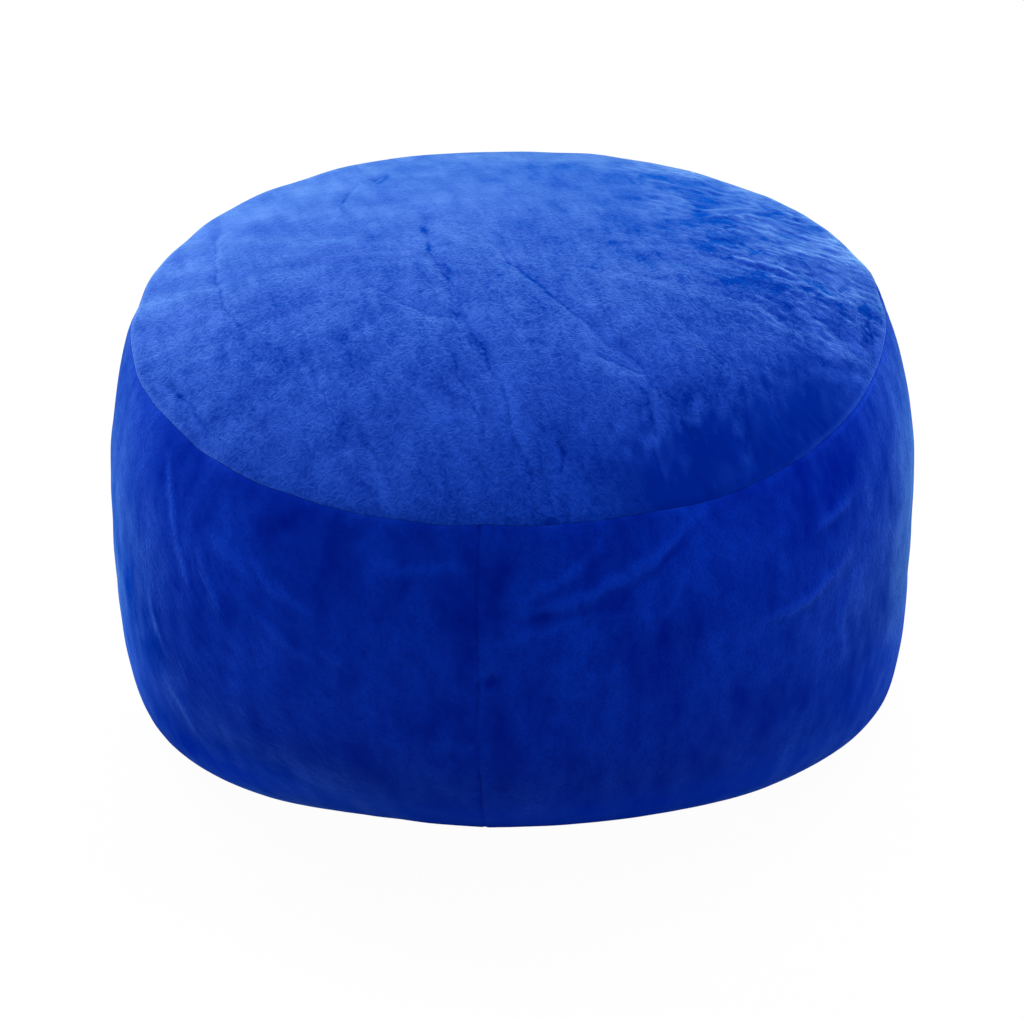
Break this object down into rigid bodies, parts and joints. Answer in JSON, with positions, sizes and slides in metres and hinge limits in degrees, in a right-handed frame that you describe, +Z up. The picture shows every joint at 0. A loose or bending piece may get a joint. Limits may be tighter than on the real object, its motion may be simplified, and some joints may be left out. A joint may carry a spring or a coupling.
{
  "type": "bean bag sofa",
  "caption": "Round drum-shaped bean bag seat in blue plush, with a crowned top panel, a bellied side band and a flat base.",
  "frame": {"origin": "middle of the flat base, on the floor", "axes": "+Z up through the crown, -Y towards the front with its upright seam, +X to the right seen from the front"},
  "size_m": [0.644, 0.636, 0.3726],
  "materials": {
    "top_plush": "short royal blue plush, pile brushed up and catching the light",
    "side_plush": "the same short royal blue plush, pile lying down and darker",
    "base_cloth": "plain flat blue cloth"
  },
  "bodies": {
    "root": {"top_panel": "top_plush", "side_band": "side_plush", "base_panel": "base_cloth"}
  },
  "joints": []
}
